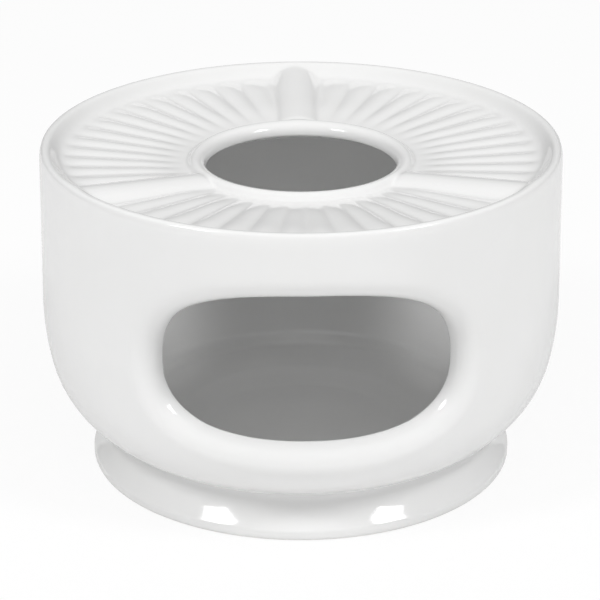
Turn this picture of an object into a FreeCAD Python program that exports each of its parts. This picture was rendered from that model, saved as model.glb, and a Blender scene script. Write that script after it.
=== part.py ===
# Teapot warmer: one piece of white glazed porcelain with no moving parts.
# A round-shouldered bowl stands on a flared foot. Its dished top has radial reeds,
# three raised rests for the teapot and a vent over the flame. A wide opening with a
# rolled edge in the front lets a tealight in.
# Millimetres. The origin is the centre of the foot ring, +Z is up, the opening faces -Y.
import FreeCAD, Part
import math
import os

import Sketcher


# Driving sizes: name, value, what it measures
SIZES = [
    ("total_height", 90.3, "foot ring to the crest of the rim"),
    ("wall_radius", 70.15, "outside of the wall at the shoulder, the widest place"),
    ("rim_taper", 0.45, "how far the wall leans in between shoulder and rim"),
    ("wall", 5.0, "thickness of the wall"),
    ("flank_arc", 75.0, "radius of the first, slow curve under the shoulder"),
    ("flank_turn", 12.0, "degrees that the slow curve turns"),
    ("bowl_arc", 30.0, "radius of the tighter curve under it"),
    ("groove_height", 11.16, "neck between bowl and foot, above the table"),
    ("groove_inset", 17.65, "how far the neck lies inside the wall"),
    ("groove_fillet", 1.2, "rounding in the bottom of the neck"),
    ("flare_arc", 8.9, "hollow curve of the flared foot"),
    ("foot_flare", 5.1, "how far the foot stands out from the neck"),
    ("foot_rounding", 1.4, "rounding of the foot's edges"),
    ("foot_ring_width", 7.0, "width of the ring that the warmer stands on"),
    ("foot_ring_edge", 1.0, "rounding of the ring's inside edge"),
    ("floor_thickness", 4.2, "thickness of the floor"),
    ("seat_height", 6.2, "tealight seat above the table"),
    ("seat_radius", 27.0, "flat of the tealight seat"),
    ("seat_slope_width", 6.0, "width of the slope round the seat"),
    ("seat_slope_rise", 3.0, "rise of that slope"),
    ("shelf_rise", 1.8, "rise of the floor from the slope out to the neck"),
    ("floor_rounding", 2.5, "rounding of the floor's creases"),
    ("neck_wall", 5.8, "thickness of the wall at the neck"),
    ("neck_rounding", 3.0, "rounding where the bowl turns down into the neck"),
    ("rim_lean", 20.0, "degrees that the rim leans in before its edge"),
    ("rim_lean_arc", 6.0, "radius of that lean"),
    ("rim_edge_arc", 1.1, "radius of the rim's outer edge"),
    ("rim_crest_width", 0.9, "flat of the rim's crest before its inner edge is rounded"),
    ("rim_inner_rounding", 1.2, "rounding of the rim's inner edge"),
    ("rim_slope_width", 3.2, "how far the rim's inner side leans in"),
    ("moat_depth", 4.9, "rim's crest down to the narrow groove inside the rim"),
    ("moat_width", 1.0, "flat of that groove, from the reeds' ends to the rim"),
    ("moat_rounding", 1.6, "hollow of that groove's outer side"),
    ("dish_outer_depth", 4.4, "rim's crest down to the dish under the reeds' outer ends"),
    ("dish_inner_depth", 5.9, "rim's crest down to the dish at the foot of the vent's lip"),
    ("vent_radius", 25.5, "narrowest part of the vent"),
    ("vent_land", 0.8, "straight part of the vent under its rounded lip"),
    ("vent_rounding", 0.8, "rounding of the vent's lower edge"),
    ("lip_rounding", 2.7, "rounding of the vent's lip towards the vent"),
    ("lip_width", 2.3, "width of the lip's outer side"),
    ("lip_crest_depth", 4.3, "rim's crest down to the crest of the lip"),
    ("plate_thickness", 4.2, "thickness of the top"),
    ("ceiling_rounding", 5.0, "inside corner between wall and top"),
    ("division", 7.5, "degrees taken by one reed"),
    ("reeds_per_sector", 14.0, "reeds between two rests"),
    ("sectors", 3.0, "groups of reeds, and rests between them"),
    ("reed_end_rounding", 1.6, "rounding of the reeds' outer ends"),
    ("reed_rise", 1.0, "crest of a reed above its valleys, at the outer end"),
    ("reed_outer_depth", 4.1, "rim's crest down to the valleys at the reeds' outer ends"),
    ("reed_inner_depth", 6.1, "rim's crest down to the valleys at the foot of the lip"),
    ("rest_width", 13.3, "width of a teapot rest"),
    ("rest_inner_depth", 5.6, "rim's crest down to a rest's edge at the lip"),
    ("rest_outer_depth", 1.9, "rim's crest down to a rest's edge at the rim"),
    ("rest_crown", 1.2, "how much a rest's top bulges"),
    ("rest_rounding", 2.2, "rounding along a rest's sides"),
    ("opening_half_angle", 35.7, "degrees from the middle of the opening to its end"),
    ("opening_sill_depth", 19.4, "shoulder down to the lowest place of the opening's throat"),
    ("opening_top_share", 0.58, "height of the throat's top on the way from shoulder to rim"),
    ("opening_sill_slope", 11.0, "degrees that the sill of the opening rises inwards"),
    ("opening_end_share", 0.77, "radius of the opening's ends as a share of half its height"),
    ("rolled_edge", 5.5, "radius of the opening's rolled outer edge"),
    ("inner_edge", 1.2, "rounding of the opening's inner edge"),
    ("edge_land", 1.2, "straight part between the rolled edge and the inner edge"),
    ("collar_width", 8.0, "how far the thickened edge reaches round the opening"),
]

# Sizes that follow from the driving ones: name, formula, what it measures
FOLLOWING = [
    ("rim_radius", "wall_radius - rim_taper", "outside of the wall at the rim"),
    ("groove_radius", "wall_radius - groove_inset", "outside of the neck"),
    ("foot_radius", "groove_radius + foot_flare", "outside of the foot"),
    ("foot_ring_inside", "foot_radius - foot_ring_width", "inside of the foot ring"),
    ("neck_inside", "groove_radius - neck_wall", "inside of the neck"),
    ("arc_difference", "flank_arc - bowl_arc", "between the centres of the two curves"),
    ("bowl_reach", "groove_radius - wall_radius + flank_arc - arc_difference * cos(flank_turn)",
     "from the centre of the bowl's curve out to the neck"),
    ("bowl_drop", "sqrt(bowl_arc ^ 2 - bowl_reach ^ 2)",
     "from the centre of the bowl's curve down to the neck"),
    ("shoulder_height", "groove_height + bowl_drop + arc_difference * sin(flank_turn)",
     "where the upright wall starts to curve in"),
    ("seat_slope_radius", "seat_radius + seat_slope_width", "top of the slope round the seat"),
    ("shelf_inner_height", "seat_height + seat_slope_rise", "floor at the top of that slope"),
    ("shelf_outer_height", "shelf_inner_height + shelf_rise", "floor where it meets the neck"),
    ("rim_edge_radius", "rim_radius - rim_lean_arc * (1 - cos(rim_lean))",
     "outside of the rim where its lean ends"),
    ("rim_crest_radius", "rim_edge_radius - rim_edge_arc * cos(rim_lean)",
     "where the rim's outer edge reaches the crest"),
    ("rim_inner_top", "rim_crest_radius - rim_crest_width", "inner side of the rim at its crest"),
    ("rim_inner_foot", "rim_inner_top - rim_slope_width", "inner side of the rim at its foot"),
    ("reed_end_radius", "rim_inner_foot - moat_width", "outer end of the reeds"),
    ("moat_height", "total_height - moat_depth", "bottom of the groove inside the rim"),
    ("dish_outer_height", "total_height - dish_outer_depth", "dish under the reeds' ends"),
    ("dish_inner_height", "total_height - dish_inner_depth", "dish at the foot of the lip"),
    ("lip_crest_radius", "vent_radius + lip_rounding", "crest of the lip"),
    ("lip_base_radius", "lip_crest_radius + lip_width", "foot of the lip"),
    ("lip_crest_height", "total_height - lip_crest_depth", "height of the lip's crest"),
    ("reed_valley_outer", "total_height - reed_outer_depth", "valleys at the reeds' outer ends"),
    ("reed_valley_inner", "total_height - reed_inner_depth", "valleys at the foot of the lip"),
    ("rest_inner_height", "total_height - rest_inner_depth", "edge of a rest at the lip"),
    ("rest_outer_height", "total_height - rest_outer_depth", "edge of a rest at the rim"),
    ("opening_top", "shoulder_height + opening_top_share * (total_height - shoulder_height)",
     "highest place of the throat"),
    ("opening_bottom", "shoulder_height - opening_sill_depth", "lowest place of the throat"),
]

# the name of the part's only piece
NODE = "warmer_body"

# directions seen from above, in degrees from +X
BACK = 90
FRONT = -90

# how far a cutting shape runs past the porcelain
CLEARANCE = 1

# how near an edge must lie to the height at which it is looked for
NEARLY = 0.1

# the most that the neck's ridge may be rounded, as a share of half the height that it has
NECK_SHARE = 1.1

# nearest and furthest reach of the opening's plug from the axis, as shares of the wall's radius
PLUG_NEAR = 0.6
PLUG_FAR = 1.1


class Size:
    """A number together with the spreadsheet formula that it comes from."""

    def __init__(self, number, formula):
        self.number = number
        self.formula = formula

    def __add__(self, other):
        other = as_size(other)
        return Size(self.number + other.number, "(%s + %s)" % (self.formula, other.formula))

    def __sub__(self, other):
        other = as_size(other)
        return Size(self.number - other.number, "(%s - %s)" % (self.formula, other.formula))

    def __mul__(self, other):
        other = as_size(other)
        return Size(self.number * other.number, "(%s * %s)" % (self.formula, other.formula))

    def __truediv__(self, other):
        other = as_size(other)
        return Size(self.number / other.number, "(%s / %s)" % (self.formula, other.formula))

    def __neg__(self):
        return Size(-self.number, "(0 - %s)" % self.formula)


def as_size(value):
    return value if isinstance(value, Size) else Size(float(value), "%g" % value)


def sine(angle):
    return Size(math.sin(math.radians(angle.number)), "sin(%s)" % angle.formula)


def cosine(angle):
    return Size(math.cos(math.radians(angle.number)), "cos(%s)" % angle.formula)


def tangent(angle):
    return Size(math.tan(math.radians(angle.number)), "tan(%s)" % angle.formula)


def root(size):
    return Size(math.sqrt(size.number), "sqrt(%s)" % size.formula)


def smaller(one, other):
    return Size(min(one.number, other.number), "min(%s; %s)" % (one.formula, other.formula))


def fill_sheet(doc):
    """Writes the sizes into the spreadsheet and gives them back by name."""
    sheet = doc.addObject("Spreadsheet::Sheet", "sizes")
    rows = [(name, "%g" % number, note) for name, number, note in SIZES]
    rows += [(name, "=" + formula, note) for name, formula, note in FOLLOWING]
    for row, (name, content, note) in enumerate(rows, start=1):
        sheet.set("A%d" % row, note)
        sheet.set("B%d" % row, content)
        sheet.setAlias("B%d" % row, name)
    doc.recompute()
    return {name: Size(float(sheet.get(name)), "sizes.%s" % name) for name, _, _ in rows}


def origin_plane(body, role):
    return [feature for feature in body.Origin.OriginFeatures if feature.Role == role][0]


def section_sketch(body, name):
    """A sketch in the upright plane through the axis: across is the radius, up is the height."""
    sketch = body.newObject("Sketcher::SketchObject", name)
    sketch.AttachmentSupport = (origin_plane(body, "XZ_Plane"), [""])
    sketch.MapMode = "FlatFace"
    return sketch


def radial_sketch(body, name, direction, distance):
    """A sketch square to a radius of the warmer, at a direction in degrees from +X."""
    sketch = body.newObject("Sketcher::SketchObject", name)
    sketch.AttachmentSupport = (origin_plane(body, "YZ_Plane"), [""])
    sketch.MapMode = "FlatFace"
    across = distance * sine(direction)
    away = distance * cosine(direction)
    turn = FreeCAD.Rotation(FreeCAD.Vector(0, 1, 0), direction.number)
    sketch.AttachmentOffset = FreeCAD.Placement(
        FreeCAD.Vector(across.number, 0, away.number), turn)
    sketch.setExpression("AttachmentOffset.Base.x", across.formula)
    sketch.setExpression("AttachmentOffset.Base.z", away.formula)
    sketch.setExpression("AttachmentOffset.Rotation.Angle", direction.formula)
    return sketch


def pin(sketch, geometry, point, across, up):
    """Ties a point of a sketch to its two sizes."""
    for kind, size in (("DistanceX", across), ("DistanceY", up)):
        constraint = Sketcher.Constraint(kind, -1, 1, geometry, point, size.number)
        index = sketch.addConstraint(constraint)
        sketch.setExpression("Constraints[%d]" % index, size.formula)


def draw_outline(sketch, corners):
    """Draws a closed outline. Each corner is (across, up) or (across, up, radius): with a
    radius, an arc leaves the corner, turning left as it goes if the radius is positive."""
    count = len(corners)
    for index, corner in enumerate(corners):
        following = corners[(index + 1) % count]
        start = FreeCAD.Vector(corner[0].number, corner[1].number, 0)
        end = FreeCAD.Vector(following[0].number, following[1].number, 0)
        if len(corner) == 2:
            sketch.addGeometry(Part.LineSegment(start, end), False)
            continue
        radius = abs(corner[2].number)
        chord = end - start
        reach = math.sqrt(max(radius ** 2 - (chord.Length / 2) ** 2, 0.0))
        left = FreeCAD.Vector(-chord.y, chord.x, 0).normalize()
        side = 1 if corner[2].number > 0 else -1
        centre = (start + end) * 0.5 + left * (reach * side)
        middle = centre - left * (radius * side)
        sketch.addGeometry(Part.Arc(start, middle, end), False)
    for index, corner in enumerate(corners):
        # an arc that turns right is stored from its far end
        first, last = (1, 2)
        if len(corner) == 3 and corner[2].number < 0:
            first, last = (2, 1)
        following = corners[(index + 1) % count]
        next_first = 1
        if len(following) == 3 and following[2].number < 0:
            next_first = 2
        join = Sketcher.Constraint("Coincident", index, last, (index + 1) % count, next_first)
        sketch.addConstraint(join)
        pin(sketch, index, first, corner[0], corner[1])
        if len(corner) == 3:
            size = corner[2] if corner[2].number > 0 else -corner[2]
            bend = sketch.addConstraint(Sketcher.Constraint("Radius", index, size.number))
            sketch.setExpression("Constraints[%d]" % bend, size.formula)


def turned(body, kind, name, corners):
    """Turns a section all the way round the axis, as added or as removed clay."""
    sketch = section_sketch(body, name + "_section")
    draw_outline(sketch, corners)
    feature = body.newObject("PartDesign::" + kind, name)
    feature.Profile = sketch
    feature.ReferenceAxis = (sketch, ["V_Axis"])
    feature.Angle = 360
    return feature


def bowl_side(size, depth):
    """The bowl's side seen in section, at a depth below its outer surface: the corners from
    the rim down to the neck, and the centre and radius of the lower curve."""
    flank_centre = size["wall_radius"] - size["flank_arc"]
    flank = size["flank_arc"] - depth
    lower = size["bowl_arc"] - depth
    across = cosine(size["flank_turn"])
    down = sine(size["flank_turn"])
    spread = size["flank_arc"] - size["bowl_arc"]
    centre = (flank_centre + spread * across, size["shoulder_height"] - spread * down)
    shoulder = (size["wall_radius"] - depth, size["shoulder_height"])
    joint = (flank_centre + flank * across, size["shoulder_height"] - flank * down)
    return shoulder, joint, centre, flank, lower


def height_on_bowl(size, depth, radius):
    """Height of the lower curve of the bowl's side at a given radius."""
    shoulder, joint, centre, flank, lower = bowl_side(size, depth)
    out = radius - centre[0]
    return centre[1] - root(lower * lower - out * out)


def outer_form(body, size):
    """Foot, neck, bowl, wall and rim as one solid form."""
    zero = as_size(0)
    shoulder, joint, centre, flank, lower = bowl_side(size, as_size(0))
    neck = height_on_bowl(size, as_size(0), size["groove_radius"])
    out = size["foot_radius"] - size["groove_radius"] - size["flare_arc"]
    flare_end = neck - root(size["flare_arc"] * size["flare_arc"] - out * out)
    lean = size["rim_lean"]
    edge_height = size["total_height"] - size["rim_edge_arc"] * (as_size(1) - sine(lean))
    lean_height = edge_height - size["rim_lean_arc"] * sine(lean)
    return turned(body, "Revolution", "outer_form", [
        (zero, zero),
        (size["foot_radius"], zero),
        (size["foot_radius"], flare_end, -size["flare_arc"]),
        (size["groove_radius"], neck, size["bowl_arc"]),
        (joint[0], joint[1], size["flank_arc"]),
        shoulder,
        (size["rim_radius"], lean_height, size["rim_lean_arc"]),
        (size["rim_edge_radius"], edge_height, size["rim_edge_arc"]),
        (size["rim_crest_radius"], size["total_height"]),
        (zero, size["total_height"]),
    ])


def dish(body, size):
    """The shallow dish of the top, from the crest of the vent's lip to the rim."""
    zero = as_size(0)
    above = size["total_height"] + CLEARANCE
    lean = size["rim_slope_width"] / size["moat_depth"]
    fall = size["lip_crest_height"] - size["dish_inner_height"]
    run = size["lip_width"]
    lip_arc = (run * run + fall * fall) / (fall * 2)
    corner = size["rim_inner_foot"] + lean * (size["dish_outer_height"] - size["moat_height"])
    return turned(body, "Groove", "dish", [
        (zero, size["lip_crest_height"]),
        (size["lip_crest_radius"], size["lip_crest_height"], -lip_arc),
        (size["lip_base_radius"], size["dish_inner_height"]),
        (size["reed_end_radius"], size["dish_outer_height"]),
        (corner, size["dish_outer_height"]),
        (size["rim_inner_top"] + lean * CLEARANCE, above),
        (zero, above),
    ])


def reed_section(body, size, name, direction, distance):
    """One reed cut square to its length: two valleys and a round back."""
    share = distance / size["reed_end_radius"]
    half = distance * tangent(size["division"] / 2)
    along = (distance - size["lip_base_radius"]) / (size["reed_end_radius"] - size["lip_base_radius"])
    climb = size["reed_valley_outer"] - size["reed_valley_inner"]
    valley = size["reed_valley_inner"] + climb * along
    rise = size["reed_rise"] * share
    back = (half * half + rise * rise) / (rise * 2)
    bottom = size["dish_inner_height"] - size["plate_thickness"] / 2
    sketch = radial_sketch(body, name, direction, distance)
    draw_outline(sketch, [
        (-half, bottom),
        (half, bottom),
        (half, valley, back),
        (-half, valley),
    ])
    return sketch


def reeds(body, size):
    """The radial reeds, each one division wide, in groups that leave room for the rests."""
    middle = as_size(BACK) - as_size(180) / size["sectors"]
    first = middle - size["division"] * (size["reeds_per_sector"] - 1) / 2
    past_end = size["reed_end_radius"] + CLEARANCE
    inner = reed_section(body, size, "reed_inner_section", first, size["lip_crest_radius"])
    outer = reed_section(body, size, "reed_outer_section", first, past_end)
    reed = body.newObject("PartDesign::AdditiveLoft", "reed")
    reed.Profile = inner
    reed.Sections = [outer]
    reed.Ruled = True
    body.Document.recompute()
    return reed


def repeat(body, name, originals, steps):
    """Repeats features round the axis: each step is (copies, degrees between the outer two)."""
    axis = origin_plane(body, "Z_Axis")
    pattern = body.newObject("PartDesign::MultiTransform", name)
    pattern.Originals = originals
    transforms = []
    for number, (copies, angle) in enumerate(steps):
        turn = body.newObject("PartDesign::PolarPattern", "%s_turn_%d" % (name, number + 1))
        turn.Axis = (axis, [""])
        turn.Angle = angle.number
        turn.setExpression("Angle", angle.formula)
        turn.Occurrences = int(copies.number)
        turn.setExpression("Occurrences", copies.formula)
        transforms.append(turn)
    pattern.Transformations = transforms
    body.Tip = pattern
    return pattern


def moat(body, size):
    """The narrow groove inside the rim, which also rounds the outer ends of the reeds."""
    above = size["total_height"] + CLEARANCE
    lean = size["rim_slope_width"] / size["moat_depth"]
    start = size["reed_end_radius"] - size["reed_end_rounding"]
    reed_top = size["reed_valley_outer"] + size["reed_rise"]
    return turned(body, "Groove", "moat", [
        (size["reed_end_radius"], size["moat_height"]),
        (size["rim_inner_foot"], size["moat_height"]),
        (size["rim_inner_top"] + lean * CLEARANCE, above),
        (start, above),
        (start, reed_top, -size["reed_end_rounding"]),
        (size["reed_end_radius"], reed_top - size["reed_end_rounding"]),
    ])


def rest_section(body, size, name, direction, distance, edge):
    """A teapot rest cut square to its length: upright sides, rounded edges, a round crown."""
    half = size["rest_width"] / 2
    shelf = half - size["rest_rounding"]
    corner = edge - size["rest_rounding"]
    crown = size["rest_crown"]
    back = (shelf * shelf + crown * crown) / (crown * 2)
    bottom = size["dish_inner_height"] - size["plate_thickness"] / 2
    sketch = radial_sketch(body, name, direction, distance)
    draw_outline(sketch, [
        (-half, bottom),
        (half, bottom),
        (half, corner, size["rest_rounding"]),
        (shelf, edge, back),
        (-shelf, edge, size["rest_rounding"]),
        (-half, corner),
    ])
    return sketch


def rest(body, size):
    """The rest at the back, from the lip of the vent up to the rim."""
    back = as_size(BACK)
    inner = rest_section(body, size, "rest_inner_section", back,
                         size["lip_crest_radius"], size["rest_inner_height"])
    outer = rest_section(body, size, "rest_outer_section", back,
                         size["rim_crest_radius"], size["rest_outer_height"])
    feature = body.newObject("PartDesign::AdditiveLoft", "rest")
    feature.Profile = inner
    feature.Sections = [outer]
    feature.Ruled = True
    body.Document.recompute()
    return feature


def chamber(body, size):
    """The room for the flame, from the tealight seat up through the vent."""
    zero = as_size(0)
    above = size["total_height"] + CLEARANCE
    shoulder, joint, centre, flank, lower = bowl_side(size, size["wall"])
    neck_top = height_on_bowl(size, size["wall"], size["neck_inside"])
    inside_top = size["rim_radius"] - size["wall"]
    ceiling_inner = size["dish_inner_height"] - size["plate_thickness"]
    ceiling_outer = size["dish_outer_height"] - size["plate_thickness"]
    throat = size["lip_crest_height"] - size["lip_rounding"]
    return turned(body, "Groove", "chamber", [
        (zero, size["seat_height"]),
        (size["seat_radius"], size["seat_height"]),
        (size["seat_slope_radius"], size["shelf_inner_height"]),
        (size["neck_inside"], size["shelf_outer_height"]),
        (size["neck_inside"], neck_top, lower),
        (joint[0], joint[1], flank),
        shoulder,
        (inside_top, ceiling_outer),
        (size["lip_base_radius"], ceiling_inner),
        (size["vent_radius"], throat - size["vent_land"]),
        (size["vent_radius"], throat, -size["lip_rounding"]),
        (size["lip_crest_radius"], size["lip_crest_height"]),
        (size["lip_crest_radius"], above),
        (zero, above),
    ])


def underside(body, size):
    """The hollow under the floor, which leaves the foot ring to stand on."""
    zero = as_size(0)
    thick = size["floor_thickness"]
    return turned(body, "Groove", "underside", [
        (zero, zero),
        (zero, size["seat_height"] - thick),
        (size["seat_radius"], size["seat_height"] - thick),
        (size["seat_slope_radius"], size["shelf_inner_height"] - thick),
        (size["neck_inside"], size["shelf_outer_height"] - thick),
        (size["foot_ring_inside"], zero),
    ])


def ring_edges(shape, places):
    """Names of the full round edges at given places: each place is (radius, low, high)."""
    names = []
    for number, edge in enumerate(shape.Edges, start=1):
        curve = edge.Curve
        if not isinstance(curve, Part.Circle) or math.hypot(curve.Center.x, curve.Center.y) > 0.01:
            continue
        for radius, low, high in places:
            if abs(curve.Radius - radius.number) < 0.01 and low <= curve.Center.z <= high:
                names.append("Edge%d" % number)
    return names


def soften(body, name, radius, places):
    """Rounds the ring-shaped edges at the given places."""
    body.Document.recompute()
    base = body.Tip
    fillet = body.newObject("PartDesign::Fillet", name)
    fillet.Base = (base, ring_edges(base.Shape, places))
    fillet.Radius = radius.number
    fillet.setExpression("Radius", radius.formula)
    body.Document.recompute()
    return fillet


def round_outside(body, size):
    """Softens the edges of the foot and of the rim's inner side."""
    foot_top = size["groove_height"].number
    low, top = size["moat_height"].number, size["total_height"].number
    soften(body, "foot_edges", size["foot_rounding"],
           [(size["foot_radius"], -NEARLY, foot_top)])
    soften(body, "neck_fillet", size["groove_fillet"],
           [(size["groove_radius"], NEARLY, foot_top + NEARLY)])
    soften(body, "rim_inner_edge", size["rim_inner_rounding"],
           [(size["rim_inner_top"], low, top + NEARLY)])
    soften(body, "moat_edge", size["moat_rounding"],
           [(size["rim_inner_foot"], low - NEARLY, low + NEARLY)])


def round_inside(body, size):
    """Softens the creases of the floor, the neck and the ceiling, and the vent's lower edge."""
    seat, shelf = size["seat_height"].number, size["shelf_outer_height"].number
    neck = height_on_bowl(size, size["wall"], size["neck_inside"])
    throat = size["lip_crest_height"] - size["lip_rounding"] - size["vent_land"]
    top = size["total_height"].number
    floor_creases = [
        (size["seat_radius"], seat - NEARLY, shelf),
        (size["seat_slope_radius"], seat, shelf),
        (size["neck_inside"], shelf - NEARLY, shelf + NEARLY),
    ]
    # the crease and the ridge of the neck share the height between them
    half_neck = (neck - size["shelf_outer_height"]) / 2
    soften(body, "floor_creases", smaller(size["floor_rounding"], half_neck), floor_creases)
    soften(body, "neck_ridge", smaller(size["neck_rounding"], half_neck * NECK_SHARE),
           [(size["neck_inside"], shelf + NEARLY, top)])
    soften(body, "ceiling_corner", size["ceiling_rounding"],
           [(size["rim_radius"] - size["wall"], neck.number, top)])
    soften(body, "vent_edge", size["vent_rounding"],
           [(size["vent_radius"], throat.number - NEARLY, throat.number + NEARLY)])
    soften(body, "foot_ring_edge", size["foot_ring_edge"],
           [(size["foot_ring_inside"], -NEARLY, NEARLY)])


def turned_body(doc, size):
    """Everything that is turned about the axis, with the reeds and the rests on its top."""
    body = doc.addObject("PartDesign::Body", "turned_form")
    outer_form(body, size)
    dish(body, size)
    chamber(body, size)
    underside(body, size)
    round_inside(body, size)
    reed = reeds(body, size)
    span = size["division"] * (size["reeds_per_sector"] - 1)
    steps = [(size["reeds_per_sector"], span), (size["sectors"], as_size(360))]
    repeat(body, "reed_groups", [reed], steps)
    moat(body, size)
    round_outside(body, size)
    one_rest = rest(body, size)
    repeat(body, "rests", [one_rest], [(size["sectors"], as_size(360))])
    return body


def oval(sketch, size, half_angle, distance, margin):
    """The opening's outline, wider the further it is from the axis: four arcs end to end."""
    half_width = distance * tangent(half_angle)
    inwards = size["wall_radius"] - distance
    bottom = size["opening_bottom"] + inwards * tangent(size["opening_sill_slope"])
    middle = (size["opening_top"] + bottom) / 2
    throat_half = (size["opening_top"] - bottom) / 2
    half_height = throat_half + margin
    end = throat_half * size["opening_end_share"] + margin
    reach = half_width - end
    flat = (reach * reach + half_height * half_height - end * end) / ((half_height - end) * 2)
    # where the end arcs meet the flat arcs, on the line through both centres
    share = end / (flat - end)
    across = reach + reach * share
    up = (flat - half_height) * share
    draw_outline(sketch, [
        (-across, middle - up, flat),
        (across, middle - up, end),
        (across, middle + up, flat),
        (-across, middle + up, end),
    ])


def plug(doc, name, size, half_angle, margin):
    """A plug for the front opening: its ends point at the axis, square to the wall."""
    front = as_size(FRONT)
    near_distance = size["wall_radius"] * PLUG_NEAR
    far_distance = size["wall_radius"] * PLUG_FAR
    body = doc.addObject("PartDesign::Body", name)
    near = radial_sketch(body, name + "_near", front, near_distance)
    oval(near, size, half_angle, near_distance, margin)
    far = radial_sketch(body, name + "_far", front, far_distance)
    oval(far, size, half_angle, far_distance, margin)
    loft = body.newObject("PartDesign::AdditiveLoft", name + "_loft")
    loft.Profile = near
    loft.Sections = [far]
    loft.Ruled = True
    return body


def lip_shell(doc, size):
    """A shell that lines the wall inside, as deep as the rolled edge needs."""
    body = doc.addObject("PartDesign::Body", "lip_shell")
    depth = size["rolled_edge"] + size["edge_land"] + size["inner_edge"]
    buried = size["wall"] / 2
    outer = bowl_side(size, buried)
    inner = bowl_side(size, depth)
    top = size["opening_top"] + size["collar_width"]
    outer_end = height_on_bowl(size, buried, size["groove_radius"])
    inner_end = height_on_bowl(size, depth, size["groove_radius"])
    turned(body, "Revolution", "lip_shell_ring", [
        (size["groove_radius"], outer_end, outer[4]),
        (outer[1][0], outer[1][1], outer[3]),
        outer[0],
        (outer[0][0], top),
        (inner[0][0], top),
        (inner[0][0], inner[0][1], -inner[3]),
        (inner[1][0], inner[1][1], -inner[4]),
        (size["groove_radius"], inner_end),
    ])
    return body


def combine(doc, kind, name, base, tool):
    """A boolean of two solids: Part::Fuse, Part::Common or Part::Cut."""
    feature = doc.addObject("Part::" + kind, name)
    feature.Base = base
    feature.Tool = tool
    doc.recompute()
    return feature


def mouth_edges(shape, plug_form, surface):
    """Names of the edges round the opening that lie on both the plug and a given surface."""
    names = []
    for number, edge in enumerate(shape.Edges, start=1):
        if not plug_form.BoundBox.isInside(edge.BoundBox):
            continue
        points = [Part.Vertex(point) for point in edge.discretize(5)]
        forms = (plug_form.Shells[0], surface.Shells[0])
        if all(point.distToShape(form)[0] < 0.01 for form in forms for point in points):
            names.append("Edge%d" % number)
    return names


def roll_edges(body, name, radius, plug_form, surface):
    """Rounds the opening's edges on one surface of the wall."""
    base = body.Tip
    fillet = body.newObject("PartDesign::Fillet", name)
    fillet.Base = (base, mouth_edges(base.Shape, plug_form, surface))
    fillet.Radius = radius.number
    fillet.setExpression("Radius", radius.formula)
    body.Document.recompute()
    return fillet


def opening(doc, size, form, outer):
    """Thickens the wall round the opening, cuts it and rolls its edges."""
    zero = as_size(0)
    reach = size["collar_width"] / size["wall_radius"] * as_size(180) / as_size(math.pi)
    cutter = plug(doc, "opening_plug", size, size["opening_half_angle"], zero)
    wide = plug(doc, "collar_plug", size, size["opening_half_angle"] + reach, size["collar_width"])
    shell = lip_shell(doc, size)
    collar = combine(doc, "Common", "collar", shell, wide)
    thickened = combine(doc, "Fuse", "thickened_wall", form, collar)
    opened = combine(doc, "Cut", "opened_wall", thickened, cutter)
    whole = doc.addObject("PartDesign::Body", NODE)
    whole.BaseFeature = opened
    doc.recompute()
    roll_edges(whole, "rolled_edge_fillet", size["rolled_edge"], cutter.Shape, outer.Shape)
    roll_edges(whole, "inner_edge_fillet", size["inner_edge"], cutter.Shape, shell.Shape)
    return whole


def check(doc, body):
    """Stops the build if a feature failed or the finished solid is not sound."""
    for feature in doc.Objects:
        if "Invalid" in feature.State or "Error" in feature.State:
            raise RuntimeError("%s did not build: %s" % (feature.Label, feature.State))
    if body.Shape.isNull() or not body.Shape.isValid() or len(body.Shape.Solids) != 1:
        raise RuntimeError("%s is not one sound solid" % body.Label)


def build():
    doc = FreeCAD.newDocument("teapot_warmer")
    size = fill_sheet(doc)
    form = turned_body(doc, size)
    outer = doc.getObject("outer_form")
    body = opening(doc, size, form, outer)
    check(doc, body)
    os.makedirs("parts", exist_ok=True)
    body.Shape.exportStep("parts/%s.step" % NODE)


build()
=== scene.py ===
import math

import bmesh
import bpy
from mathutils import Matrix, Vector


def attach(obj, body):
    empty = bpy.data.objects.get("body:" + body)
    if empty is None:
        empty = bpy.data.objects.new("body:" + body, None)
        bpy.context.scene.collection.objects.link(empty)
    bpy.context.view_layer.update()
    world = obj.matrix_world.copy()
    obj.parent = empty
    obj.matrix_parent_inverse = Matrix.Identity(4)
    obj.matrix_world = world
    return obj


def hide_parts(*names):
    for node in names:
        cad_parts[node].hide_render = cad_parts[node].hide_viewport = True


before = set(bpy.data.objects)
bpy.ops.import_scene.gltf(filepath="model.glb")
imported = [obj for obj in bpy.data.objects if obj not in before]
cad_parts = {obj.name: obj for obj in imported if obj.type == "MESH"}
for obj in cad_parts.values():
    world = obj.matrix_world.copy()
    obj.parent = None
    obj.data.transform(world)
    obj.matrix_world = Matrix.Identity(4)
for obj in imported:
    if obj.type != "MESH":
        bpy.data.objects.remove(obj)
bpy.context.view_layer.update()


# The warmer's turned form: one hollow body of porcelain with foot, bowl, wall, rim, dished
# top and floor. It is cast in one piece, so its whole section is drawn as one line and spun
# round the axis. The line starts and ends on the axis, under and over the floor.

# one millimetre in the meshes' metres
MM = 0.001

WALL = 5.0
FLOOR = 4.2

# the foot and the standing ring under it
FOOT_RADIUS, RING_WIDTH = 57.6, 7.0

# the floor inside: the tealight's seat, the slope round it, and the shelf out to the neck
SEAT_RADIUS, SEAT_HEIGHT = 27.0, 6.2
SLOPE_RADIUS, SLOPE_HEIGHT = 33.0, 9.2
NECK_INSIDE, SHELF_HEIGHT = 46.7, 11.0

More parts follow.
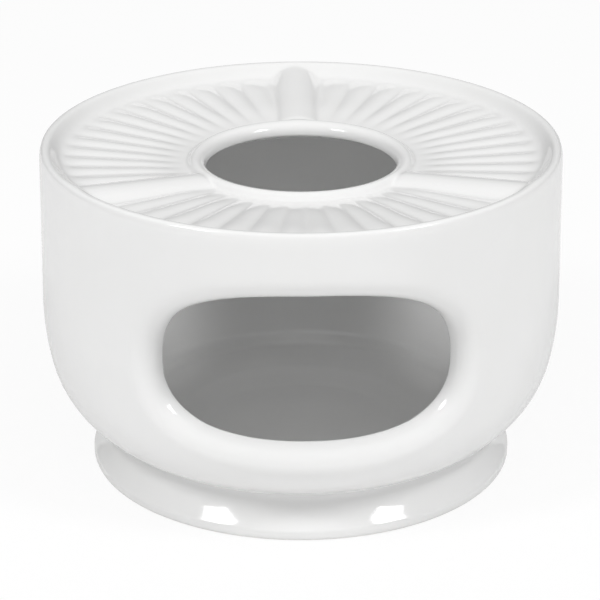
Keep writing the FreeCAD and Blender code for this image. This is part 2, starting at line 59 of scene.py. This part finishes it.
# the bowl's side: a slow curve under the shoulder, then a tighter one down to the neck
SHOULDER_RADIUS, SHOULDER_HEIGHT = 70.15, 47.4
FLANK_ARC, FLANK_TURN = 75.0, math.radians(12)
BOWL_ARC = 30.0
BOWL_CENTRE = (
    SHOULDER_RADIUS - FLANK_ARC + (FLANK_ARC - BOWL_ARC) * math.cos(FLANK_TURN),
    SHOULDER_HEIGHT - (FLANK_ARC - BOWL_ARC) * math.sin(FLANK_TURN),
)

# the rim, which leans in a little before its small outer edge
RIM_RADIUS, RIM_LEAN_HEIGHT, RIM_HEIGHT = 69.7, 87.52, 90.3
RIM_LEAN_ARC, RIM_LEAN, RIM_EDGE_ARC = 6.0, 20, 1.1

# the vent and the round lip about it
VENT_RADIUS, LIP_CREST, LIP_HEIGHT, LIP_ROUNDING = 25.5, 28.2, 86.0, 2.7

# the middle of the opening, from which lengths up the wall are measured
MIDDLE_HEIGHT = 51.2

# steps of the spin round the axis
STEPS = 384


def wall_at(along):
    """Radius, height and outward direction of the outer wall, at a length measured up the
    section from the middle of the opening."""
    below = SHOULDER_HEIGHT - MIDDLE_HEIGHT - along
    if below <= 0:
        height = MIDDLE_HEIGHT + along
        share = (height - SHOULDER_HEIGHT) / (RIM_LEAN_HEIGHT - SHOULDER_HEIGHT)
        return SHOULDER_RADIUS + (RIM_RADIUS - SHOULDER_RADIUS) * share, height, 1.0, 0.0
    if below <= FLANK_ARC * FLANK_TURN:
        turn = below / FLANK_ARC
        centre, bend = (SHOULDER_RADIUS - FLANK_ARC, SHOULDER_HEIGHT), FLANK_ARC
    else:
        turn = FLANK_TURN + (below - FLANK_ARC * FLANK_TURN) / BOWL_ARC
        centre, bend = BOWL_CENTRE, BOWL_ARC
    across, down = math.cos(turn), math.sin(turn)
    return centre[0] + bend * across, centre[1] - bend * down, across, -down


def wall_line(lengths, depth):
    """Points of the wall's section at a depth under its outer surface."""
    line = []
    for along in lengths:
        radius, height, across, up = wall_at(along)
        line.append((radius - depth * across, height - depth * up))
    return line


def arc(centre, radius, start, end, count):
    """Points on an arc of the section, its angles in degrees from straight out."""
    angles = [math.radians(start + (end - start) * k / count) for k in range(count + 1)]
    return [(centre[0] + radius * math.cos(a), centre[1] + radius * math.sin(a)) for a in angles]


def softened(corners, spacing):
    """A line through corners (radius, height, rounding), each rounded and its straight
    stretches divided."""
    line = [corners[0][:2]]
    for before, corner, after in zip(corners, corners[1:], corners[2:]):
        here = Vector(corner[:2])
        inward = (Vector(before[:2]) - here).normalized()
        outward = (Vector(after[:2]) - here).normalized()
        turn = math.pi - inward.angle(outward)
        cut = corner[2] * math.tan(turn / 2)
        start, end = here + inward * cut, here + outward * cut
        bits = max(2, math.ceil(math.degrees(turn) / 14))
        pull = corner[2] * 4 / 3 * math.tan(turn / 4)
        line += divided(line[-1], start, spacing)
        for k in range(1, bits + 1):
            t = k / bits
            point = (start * (1 - t) ** 3 + (start - inward * pull) * 3 * t * (1 - t) ** 2
                     + (end - outward * pull) * 3 * t ** 2 * (1 - t) + end * t ** 3)
            line.append((point.x, point.y))
    return line + divided(line[-1], Vector(corners[-1][:2]), spacing)


def divided(start, end, spacing):
    """Points from one place of the section to another, without the first."""
    start = Vector(start)
    count = max(1, round((end - start).length / spacing))
    return [tuple(start.lerp(end, k / count)) for k in range(1, count + 1)]


# lengths up the wall at which it is divided; the opening lies between the first and last
# of the block's rows, outside and inside
BLOCK_ROWS = 28
BLOCK_FOOT, OUTER_BLOCK, INNER_BLOCK = -37, 70, 62
outer_rows = [BLOCK_FOOT + OUTER_BLOCK * k / BLOCK_ROWS for k in range(BLOCK_ROWS + 1)]
inner_rows = [BLOCK_FOOT + INNER_BLOCK * k / BLOCK_ROWS for k in range(BLOCK_ROWS + 1)]

# from the hollow under the floor, over the standing ring and up the foot's edge
FLARE_START = (56.5, 4.09)
foot = softened([
    (0, SEAT_HEIGHT - FLOOR, 0),
    (SEAT_RADIUS + 0.5, SEAT_HEIGHT - FLOOR, 2.0),
    (SLOPE_RADIUS, SLOPE_HEIGHT - FLOOR, 2.0),
    (NECK_INSIDE, SHELF_HEIGHT - FLOOR, 1.0),
    (FOOT_RADIUS - RING_WIDTH, 0, 1.0),
    (FOOT_RADIUS, 0, 1.4),
    (FOOT_RADIUS, 2.89, 1.2),
    FLARE_START + (0,),
], 9.0)

# the flare is nearly flat above the foot's edge and turns up tightly into the neck
FLARE_JOINT = 211.6
flare = arc((78.65, 24.32), 30.0, 222.4, FLARE_JOINT, 4)[1:]
flare += arc((56.51, 10.7), 4.0, FLARE_JOINT, 183, 5)[1:]

# the narrow crease between neck and bowl, then the wall up to where the rim leans in
groove = [(52.52, 10.9), (52.62, 11.15), (52.85, 11.33)]
lower_wall = wall_line([-45.7, -44.0, -42.3, -40.6, -38.8], 0)
outer_wall = wall_line(outer_rows, 0)
upper_wall = wall_line([35.0, RIM_LEAN_HEIGHT - MIDDLE_HEIGHT], 0)

# the rim's outside, up to its crest
lean_centre = (RIM_RADIUS - RIM_LEAN_ARC, RIM_LEAN_HEIGHT)
edge_centre = (68.3, RIM_HEIGHT - RIM_EDGE_ARC)
rim = arc(lean_centre, RIM_LEAN_ARC, 0, RIM_LEAN, 3)[1:]
rim += arc(edge_centre, RIM_EDGE_ARC, RIM_LEAN, 90, 5)[1:]

# radii at which the top is divided, close together where rim and lip curve; the heights
# follow once it is spun
top_radii = [67.95, 67.6, 67.2, 66.8, 66.3, 65.8, 65.2, 64.6, 64.0, 63.4, 62.8, 62.1, 61.3, 60.4]
top_radii += [59.2 - 2.3 * k for k in range(11)]
top_radii += [34.6, 33.4, 32.5, 31.8, 31.2, 30.7, 30.2, 29.8, 29.4, 29.0, 28.6, 28.2]
top = [(radius, LIP_HEIGHT) for radius in top_radii]

# down through the vent, along the ceiling and down the wall inside to the floor
throat_height = LIP_HEIGHT - LIP_ROUNDING
bore = arc((LIP_CREST, throat_height), LIP_ROUNDING, 90, 180, 8)[1:]
ceiling = softened([
    (VENT_RADIUS, throat_height, 0),
    (VENT_RADIUS, 82.5, 0.8),
    (30.5, 80.2, 4.0),
    (RIM_RADIUS - WALL, 81.7, 5.0),
    (64.9, 76.2, 0),
], 8.0)[1:-1]
inner_wall = wall_line(reversed(inner_rows), WALL)
lower_inside = wall_line([-39, -41.5, -44, -46.5], WALL)
floor_line = softened([
    lower_inside[-1] + (0,),
    (47.0, 14.3, 2.2),
    (46.0, 10.8, 2.6),
    (SLOPE_RADIUS, SLOPE_HEIGHT, 6.0),
    (SEAT_RADIUS, SEAT_HEIGHT, 4.0),
    (0, SEAT_HEIGHT, 0),
], 6.0)[1:]

# the whole section, with the place where each stretch of it starts
stretches = {
    "foot": foot, "flare": flare, "groove": groove, "lower_wall": lower_wall,
    "outer_wall": outer_wall, "upper_wall": upper_wall, "rim": rim, "top": top, "bore": bore,
    "ceiling": ceiling, "inner_wall": inner_wall, "lower_inside": lower_inside,
    "floor": floor_line,
}
section = []
station = {}
for name, line in stretches.items():
    station[name] = len(section)
    section += line

body = bmesh.new()
mark = body.verts.layers.int.new("station")
chain = []
for number, (radius, height) in enumerate(section):
    vert = body.verts.new((radius * MM, 0, height * MM))
    vert[mark] = number
    chain.append(vert)
links = [body.edges.new(pair) for pair in zip(chain, chain[1:])]
bmesh.ops.spin(body, geom=chain + links, cent=(0, 0, 0), axis=(0, 0, 1), dvec=(0, 0, 0),
               angle=2 * math.pi, steps=STEPS, use_merge=True, use_duplicate=False)
poles = [vert for vert in body.verts if math.hypot(vert.co.x, vert.co.y) < 1e-7]
bmesh.ops.remove_doubles(body, verts=poles, dist=1e-6)


# The dished top, pressed in one skin with the body: a narrow round lip about the vent,
# 42 radial reeds, the hollow inner side of the rim, and three raised rests for the pot that
# climb from the lip to the rim. Clay and glaze run them into each other without an edge.

# degrees taken by one reed, and degrees between two rests
DIVISION, REST_SPACING = 7.5, 120

# where the reeds run, over what length they fade, their valleys' height and their rise
REEDS_START, REEDS_END = 30.3, 63.2
START_FADE, END_FADE = 13, 10.5
VALLEY_HEIGHT, VALLEY_CLIMB, REED_RISE = 84.2, 2.0, 0.9
VALLEY_FILL, VALLEY_BLEND = 0.1, 0.22

# the lip's outer side, round to a share of its arc and straight below it
LIP_ARC, LIP_ROUND_SHARE = 1.9, 0.85

# the rim's inner side, and how far its crest is lowered and softened
RIM_SIDE_FOOT, RIM_SIDE_HEIGHT, RIM_SIDE_SLOPE = 64.2, 85.4, 1.53
CREST_DROP, CREST_BLEND = 0.4, 0.8

# how a rest climbs, bulges across its width and drops at its sides and its inner end
REST_CLIMB, REST_BULGE = 0.093, 0.055
REST_HALF_FLAT, REST_SIDE_DROP = 4.4, 0.3
REST_START, REST_START_DROP = 31.5, 0.1

# how softly rim, lip and rests run into the reeds
RIM_BLEND, LIP_BLEND, REST_BLEND = 2.7, 0.7, 0.7


def joined(one, other, softness):
    """The higher of two heights, with a hollow fillet where they cross."""
    return (one + other + math.hypot(one - other, softness)) / 2


def lip_top(radius):
    """The round lip's outer side, from its crest down."""
    out = min(radius - LIP_CREST, LIP_ARC * LIP_ROUND_SHARE)
    level = math.sqrt(LIP_ARC ** 2 - out ** 2)
    return LIP_HEIGHT - LIP_ARC + level - (radius - LIP_CREST - out) * out / level


def reed_top(radius, degrees):
    """The reeds: round backs between narrow valleys, fading out at both ends."""
    along = (radius - REEDS_START) / (REEDS_END - REEDS_START)
    valley = VALLEY_HEIGHT + VALLEY_CLIMB * along
    share = min(max((radius - REEDS_START) / START_FADE, 0), 1)
    start = share * share * (3 - 2 * share)
    over_end = min(max((radius - RIM_SIDE_FOOT) / END_FADE + 1, 0), 1)
    off_centre = (degrees / DIVISION) % 1 * 2 - 1
    back = REED_RISE * (1 - off_centre ** 2) * radius / REEDS_END
    back = joined(back, VALLEY_FILL, VALLEY_BLEND)
    return valley + back * start * (1 - over_end ** 2)


def rim_side(radius):
    """The rim's inner side, rounded over at the crest."""
    side = RIM_SIDE_HEIGHT + RIM_SIDE_SLOPE * (radius - RIM_SIDE_FOOT)
    # the soft joint with the reeds lifts the crest again by about what is taken off here
    crest = RIM_HEIGHT - CREST_DROP
    return (side + crest - math.hypot(side - crest, CREST_BLEND)) / 2


def rest_top(radius, degrees):
    """The nearest teapot rest: a long low dome."""
    half = REST_SPACING / 2
    turn = math.radians((degrees - 90 + half) % REST_SPACING - half)
    along, across = radius * math.cos(turn), abs(radius * math.sin(turn))
    crown = LIP_HEIGHT + REST_CLIMB * (along - LIP_CREST)
    crown -= REST_START_DROP * max(REST_START - along, 0) ** 2
    side = REST_SIDE_DROP * max(across - REST_HALF_FLAT, 0) ** 2
    return crown - REST_BULGE * across ** 2 - side


top_stations = range(station["top"], station["bore"])
for vert in body.verts:
    if vert[mark] in top_stations:
        radius = math.hypot(vert.co.x, vert.co.y) / MM
        degrees = math.degrees(math.atan2(vert.co.y, vert.co.x))
        height = joined(reed_top(radius, degrees), rim_side(radius), RIM_BLEND)
        height = joined(height, lip_top(radius), LIP_BLEND)
        vert.co.z = joined(height, rest_top(radius, degrees), REST_BLEND) * MM


# The front opening: a wide oval whose thick edge is rolled over outwards and softly rounded
# inside. A block of the wall's faces is taken away outside and inside, and rings are drawn
# from the one gap over the rolled edge to the other.

# half the oval's width and height, how far its middle lies above the wall's middle, and how
# square its corners are
OVAL_WIDTH, OVAL_HEIGHT, OVAL_MIDDLE = 43.6, 22.3, -1.2
OVAL_POWER = 2.5

# the rolled edge, the straight throat, the inner rounding, and the slope back to the wall
ROLL, LAND, INNER_ROUND, SLOPE_BACK = 6.0, 0.8, 1.2, 2.8

# columns that the block reaches to each side of the middle
BLOCK_COLUMNS = 52


def wall_place(across, along, depth):
    """A point in space at lengths across and up the wall, at a depth under its surface."""
    radius, height, out, up = wall_at(along)
    turn = across / SHOULDER_RADIUS
    reach = (radius - depth * out) * MM
    return Vector((reach * math.sin(turn), -reach * math.cos(turn), (height - depth * up) * MM))


def oval_at(direction, wider):
    """Where the oval, made wider all round, is met in a direction from its middle."""
    size = (OVAL_WIDTH + wider, OVAL_HEIGHT + wider)
    share = sum(abs(part / full) ** OVAL_POWER for part, full in zip(direction, size))
    return direction * share ** (-1 / OVAL_POWER)


def open_block(first):
    """Takes the block of faces out whose rows start at a station, and gives its edge's verts
    by column and row."""
    gone = []
    for face in body.faces:
        rows = [vert[mark] - first for vert in face.verts]
        centre = face.calc_center_median()
        column = math.degrees(math.atan2(centre.x, -centre.y)) * STEPS / 360
        if min(rows) >= 0 and max(rows) <= BLOCK_ROWS and abs(column) < BLOCK_COLUMNS:
            gone.append(face)
    bmesh.ops.delete(body, geom=gone, context="FACES")
    edge = {}
    for link in body.edges:
        if link.is_boundary:
            for vert in link.verts:
                column = round(math.degrees(math.atan2(vert.co.x, -vert.co.y)) * STEPS / 360)
                row = vert[mark] - first
                if 0 <= row <= BLOCK_ROWS:
                    edge[column, row] = vert
    return edge


def draw_ring(ring, places):
    """Draws one more ring out of the last one."""
    count = len(ring)
    edges = [body.edges.get((ring[k], ring[(k + 1) % count])) for k in range(count)]
    drawn = bmesh.ops.extrude_edge_only(body, edges=edges)["geom"]
    new = {item for item in drawn if isinstance(item, bmesh.types.BMVert)}
    following = []
    for vert, place in zip(ring, places):
        partner = next(link.other_vert(vert) for link in vert.link_edges
                       if link.other_vert(vert) in new)
        partner.co = place
        following.append(partner)
    return following


side, top_row = BLOCK_COLUMNS, BLOCK_ROWS
around = [(column, 0) for column in range(-side, side)]
around += [(side, row) for row in range(top_row)]
around += [(column, top_row) for column in range(side, -side, -1)]
around += [(-side, row) for row in range(top_row, 0, -1)]
outer_edge = open_block(station["outer_wall"])
inner_edge = open_block(station["inner_wall"])
inner_edge = {(column, BLOCK_ROWS - row): vert for (column, row), vert in inner_edge.items()}
column_width = SHOULDER_RADIUS * 2 * math.pi / STEPS
outer_frame = [Vector((column * column_width, outer_rows[row])) for column, row in around]
inner_frame = [Vector((column * column_width, inner_rows[row])) for column, row in around]
middle = Vector((0, OVAL_MIDDLE))
directions = [(spot - middle).normalized() for spot in outer_frame]


def between(frame_spots, wider, share):
    """Spots on the wall between the block's edge and the oval."""
    return [spot.lerp(middle + oval_at(direction, wider), share)
            for spot, direction in zip(frame_spots, directions)]


ring = [outer_edge[key] for key in around]
for share in (0.35, 0.65, 0.88):
    ring = draw_ring(ring, [wall_place(*spot, 0) for spot in between(outer_frame, ROLL + 1, share)])

# each ring over the edge: how much wider than the throat it is, and how deep it lies
rings = []
ROLL_BITS, INNER_BITS = 9, 4
for k in range(ROLL_BITS + 1):
    turn = math.pi / 2 * k / ROLL_BITS
    rings.append((ROLL * (1 - math.sin(turn)), ROLL * (1 - math.cos(turn))))
throat = ROLL + LAND
for k in range(INNER_BITS + 1):
    turn = math.pi / 2 * k / INNER_BITS
    rings.append((INNER_ROUND * (1 - math.cos(turn)), throat + INNER_ROUND * math.sin(turn)))
lip_depth = throat + INNER_ROUND
for share in (0.25, 0.5, 0.75, 1.0):
    ease = share * share * (3 - 2 * share)
    rings.append((INNER_ROUND + SLOPE_BACK * share, lip_depth + (WALL - lip_depth) * ease))
for wider, depth in rings:
    ring = draw_ring(ring, [wall_place(*spot, depth) for spot in between(outer_frame, wider, 1)])
last = rings[-1][0]
for share in (0.8, 0.5, 0.2):
    ring = draw_ring(ring, [wall_place(*spot, WALL) for spot in between(inner_frame, last, share)])
ring = draw_ring(ring, [wall_place(*spot, WALL) for spot in inner_frame])
bmesh.ops.weld_verts(body, targetmap={vert: inner_edge[around[k]] for k, vert in enumerate(ring)})

bmesh.ops.recalc_face_normals(body, faces=body.faces)
for face in body.faces:
    face.smooth = True
body_mesh = bpy.data.meshes.new("warmer")
body.to_mesh(body_mesh)
body.free()
body_mesh.attributes.remove(body_mesh.attributes["station"])
warmer = bpy.data.objects.new("warmer", body_mesh)
bpy.context.collection.objects.link(warmer)
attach(warmer, "root")
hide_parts("warmer_body")


# White glaze over porcelain: a hard clear gloss on a clean white body. The glaze lies in
# long slow waves with a fine uneven skin, and the ring that it stands on is wiped bare.

# heights on the standing ring up to which it is bare, and from which the glaze is full
BARE_TO, GLAZED_FROM = 0.2, 0.6

# lengths of the glaze's patterns: clouds of tone, slow waves, and dimples of the skin
CLOUD_LENGTH, WAVE_LENGTH, DIMPLE_LENGTH = 35.7, 22.2, 2.38


def linear(code):
    """A colour written as an sRGB hex code, turned linear for the shader."""
    parts = [int(code[k:k + 2], 16) / 255 for k in (0, 2, 4)]
    return [p / 12.92 if p < 0.04045 else ((p + 0.055) / 1.055) ** 2.4 for p in parts] + [1]


def add_node(tree, kind, settings=None, links=None):
    """Adds a shader node, sets its properties and sockets, and links sockets to it."""
    node = tree.nodes.new(kind)
    for name, value in (settings or {}).items():
        if isinstance(name, str) and hasattr(node, name):
            setattr(node, name, value)
        else:
            node.inputs[name].default_value = value
    for name, source in (links or {}).items():
        tree.links.new(source, node.inputs[name])
    return node


glaze = bpy.data.materials.new("white_porcelain_glaze")
glaze.use_nodes = True
tree = glaze.node_tree
tree.nodes.clear()
place = add_node(tree, "ShaderNodeTexCoord").outputs["Object"]

# the clean white, with a faint unevenness of tone
cloud = add_node(tree, "ShaderNodeTexNoise", {"Scale": 1 / (CLOUD_LENGTH * MM), "Detail": 2.0},
                 {"Vector": place})
tone = add_node(tree, "ShaderNodeMix", {"data_type": "RGBA", "A": linear("ECECEB"),
                                        "B": linear("F0F0F0")}, {"Factor": cloud.outputs["Fac"]})

# the slow waves, and over them the dimples, which also dull the gloss a little
waves = add_node(tree, "ShaderNodeTexNoise", {"Scale": 1 / (WAVE_LENGTH * MM), "Detail": 1.0},
                 {"Vector": place})
dimples = add_node(tree, "ShaderNodeTexNoise", {"Scale": 1 / (DIMPLE_LENGTH * MM), "Detail": 2.0},
                   {"Vector": place})
slow_bump = add_node(tree, "ShaderNodeBump", {"Strength": 0.25, "Distance": 1.2 * MM},
                     {"Height": waves.outputs["Fac"]})
bump = add_node(tree, "ShaderNodeBump", {"Strength": 0.12, "Distance": 0.1 * MM},
                {"Height": dimples.outputs["Fac"], "Normal": slow_bump.outputs["Normal"]})
gloss = add_node(tree, "ShaderNodeMapRange", {"To Min": 0.06, "To Max": 0.12},
                 {"Value": dimples.outputs["Fac"]})

# bare porcelain where the warmer stands, glaze above it
above_table = add_node(tree, "ShaderNodeSeparateXYZ", None, {0: place}).outputs["Z"]
glazed = add_node(tree, "ShaderNodeMapRange",
                  {"From Min": BARE_TO * MM, "From Max": GLAZED_FROM * MM},
                  {"Value": above_table}).outputs["Result"]
colour = add_node(tree, "ShaderNodeMix", {"data_type": "RGBA", "A": linear("E2DFD8")},
                  {"Factor": glazed, "B": tone.outputs["Result"]})
roughness = add_node(tree, "ShaderNodeMix", {"data_type": "FLOAT", "A": 0.55},
                     {"Factor": glazed, "B": gloss.outputs["Result"]})
shader = add_node(tree, "ShaderNodeBsdfPrincipled", {"IOR": 1.5},
                  {"Base Color": colour.outputs["Result"], "Roughness": roughness.outputs["Result"],
                   "Normal": bump.outputs["Normal"]})
add_node(tree, "ShaderNodeOutputMaterial", None, {"Surface": shader.outputs["BSDF"]})
body_mesh.materials.append(glaze)


# The studio floor: a wide sheet of matt white backdrop paper that lies under the warmer. To
# the camera most of it glows by itself, so that it is nearly pure white with a faint shadow.

# half the sheet's width in metres, and the share of it that glows
FLOOR_HALF, FLOOR_GLOW = 3.0, 0.88

floor_bm = bmesh.new()
bmesh.ops.create_grid(floor_bm, x_segments=1, y_segments=1, size=FLOOR_HALF)
floor_mesh = bpy.data.meshes.new("studio_floor")
floor_bm.to_mesh(floor_mesh)
floor_bm.free()
studio_floor = bpy.data.objects.new("studio_floor", floor_mesh)
bpy.context.collection.objects.link(studio_floor)

paper = bpy.data.materials.new("white_backdrop_paper")
paper.use_nodes = True
tree = paper.node_tree
tree.nodes.clear()
rays = add_node(tree, "ShaderNodeLightPath")
matt = add_node(tree, "ShaderNodeBsdfDiffuse", {"Color": linear("F8F8F8")})
bright = add_node(tree, "ShaderNodeEmission", {"Color": linear("FFFFFF"), "Strength": 1.0})
seen = add_node(tree, "ShaderNodeMath", {"operation": "MULTIPLY", 1: FLOOR_GLOW},
                {0: rays.outputs["Is Camera Ray"]})
mixed = add_node(tree, "ShaderNodeMixShader", None, {0: seen.outputs[0]})
tree.links.new(matt.outputs["BSDF"], mixed.inputs[1])
tree.links.new(bright.outputs["Emission"], mixed.inputs[2])
add_node(tree, "ShaderNodeOutputMaterial", None, {"Surface": mixed.outputs["Shader"]})
floor_mesh.materials.append(paper)


# The white surround of the studio, brighter overhead and in front than at the sides and
# behind, so that the wall darkens a little towards its outlines.

# strength of the light from all round, and what the front and the sky above add to it
SIDE_LIGHT, FRONT_LIGHT, OVERHEAD_LIGHT = 0.10, 0.45, 0.80

world = bpy.data.worlds.new("studio")
bpy.context.scene.world = world
world.use_nodes = True
tree = world.node_tree
tree.nodes.clear()
rays = add_node(tree, "ShaderNodeLightPath")
towards = add_node(tree, "ShaderNodeTexCoord")
split = add_node(tree, "ShaderNodeSeparateXYZ", None, {0: towards.outputs["Generated"]})
height_share = add_node(tree, "ShaderNodeMath", {"operation": "POWER", 1: 2.0},
                        {0: split.outputs["Z"]})
front = add_node(tree, "ShaderNodeMath", {"operation": "MINIMUM", 1: 0.0},
                 {0: split.outputs["Y"]})
front_share = add_node(tree, "ShaderNodeMath", {"operation": "POWER", 1: 2.0},
                       {0: front.outputs[0]})
overhead = add_node(tree, "ShaderNodeMath",
                    {"operation": "MULTIPLY_ADD", 1: OVERHEAD_LIGHT, 2: SIDE_LIGHT},
                    {0: height_share.outputs[0]})
strength = add_node(tree, "ShaderNodeMath", {"operation": "MULTIPLY_ADD", 1: FRONT_LIGHT},
                    {0: front_share.outputs[0], 2: overhead.outputs[0]})
around_light = add_node(tree, "ShaderNodeBackground", {"Color": linear("FFFFFF")},
                        {"Strength": strength.outputs[0]})
behind = add_node(tree, "ShaderNodeBackground", {"Color": linear("FFFFFF"), "Strength": 1.0})
mixed = add_node(tree, "ShaderNodeMixShader", None, {0: rays.outputs["Is Camera Ray"]})
tree.links.new(around_light.outputs["Background"], mixed.inputs[1])
tree.links.new(behind.outputs["Background"], mixed.inputs[2])
add_node(tree, "ShaderNodeOutputWorld", None, {"Surface": mixed.outputs["Shader"]})


# The studio lights: two square softboxes high on the left and right. They leave the small
# bright windows on lip, rolled edge and foot, and shine down through the vent.

# in metres and watts
SOFTBOX_WIDTH, SOFTBOX_POWER = 0.3, 4.9


def add_softbox(name, place):
    """A square area light that looks at the warmer's middle."""
    lamp = bpy.data.lights.new(name, "AREA")
    lamp.shape = "SQUARE"
    lamp.size = SOFTBOX_WIDTH
    lamp.energy = SOFTBOX_POWER
    box = bpy.data.objects.new(name, lamp)
    box.location = place
    towards = Vector((0, 0, 0.05)) - box.location
    box.rotation_euler = towards.to_track_quat("-Z", "Y").to_euler()
    bpy.context.collection.objects.link(box)


add_softbox("left_softbox", (-0.737, -0.516, 0.92))
add_softbox("right_softbox", (0.737, -0.516, 0.92))


# The camera, at the photograph's viewing angle, as it was fitted to the warmer's rims, wall
# and foot. It stands a little to the left, so that the opening is turned to the right.

# the distance to the point on the axis that the camera is aimed at, and that point's height
ELEVATION, TURN = math.radians(22.87), math.radians(-1.6)
DISTANCE, AIM = 0.7237, 0.043965

# the focal length as a number of picture widths, and the sensor's width in millimetres
FOCAL_WIDTHS, SENSOR = 2644.9 / 600, 36.0

camera_data = bpy.data.cameras.new("camera")
camera_data.sensor_width = SENSOR
camera_data.lens = FOCAL_WIDTHS * SENSOR
camera_data.shift_x = -0.00166
camera = bpy.data.objects.new("camera", camera_data)
level = DISTANCE * math.cos(ELEVATION)
camera.location = (level * math.sin(TURN), -level * math.cos(TURN),
                   AIM + DISTANCE * math.sin(ELEVATION))
camera.rotation_euler = (math.pi / 2 - ELEVATION, 0, TURN)
bpy.context.collection.objects.link(camera)
bpy.context.scene.camera = camera
bpy.context.scene.view_settings.view_transform = "Standard"
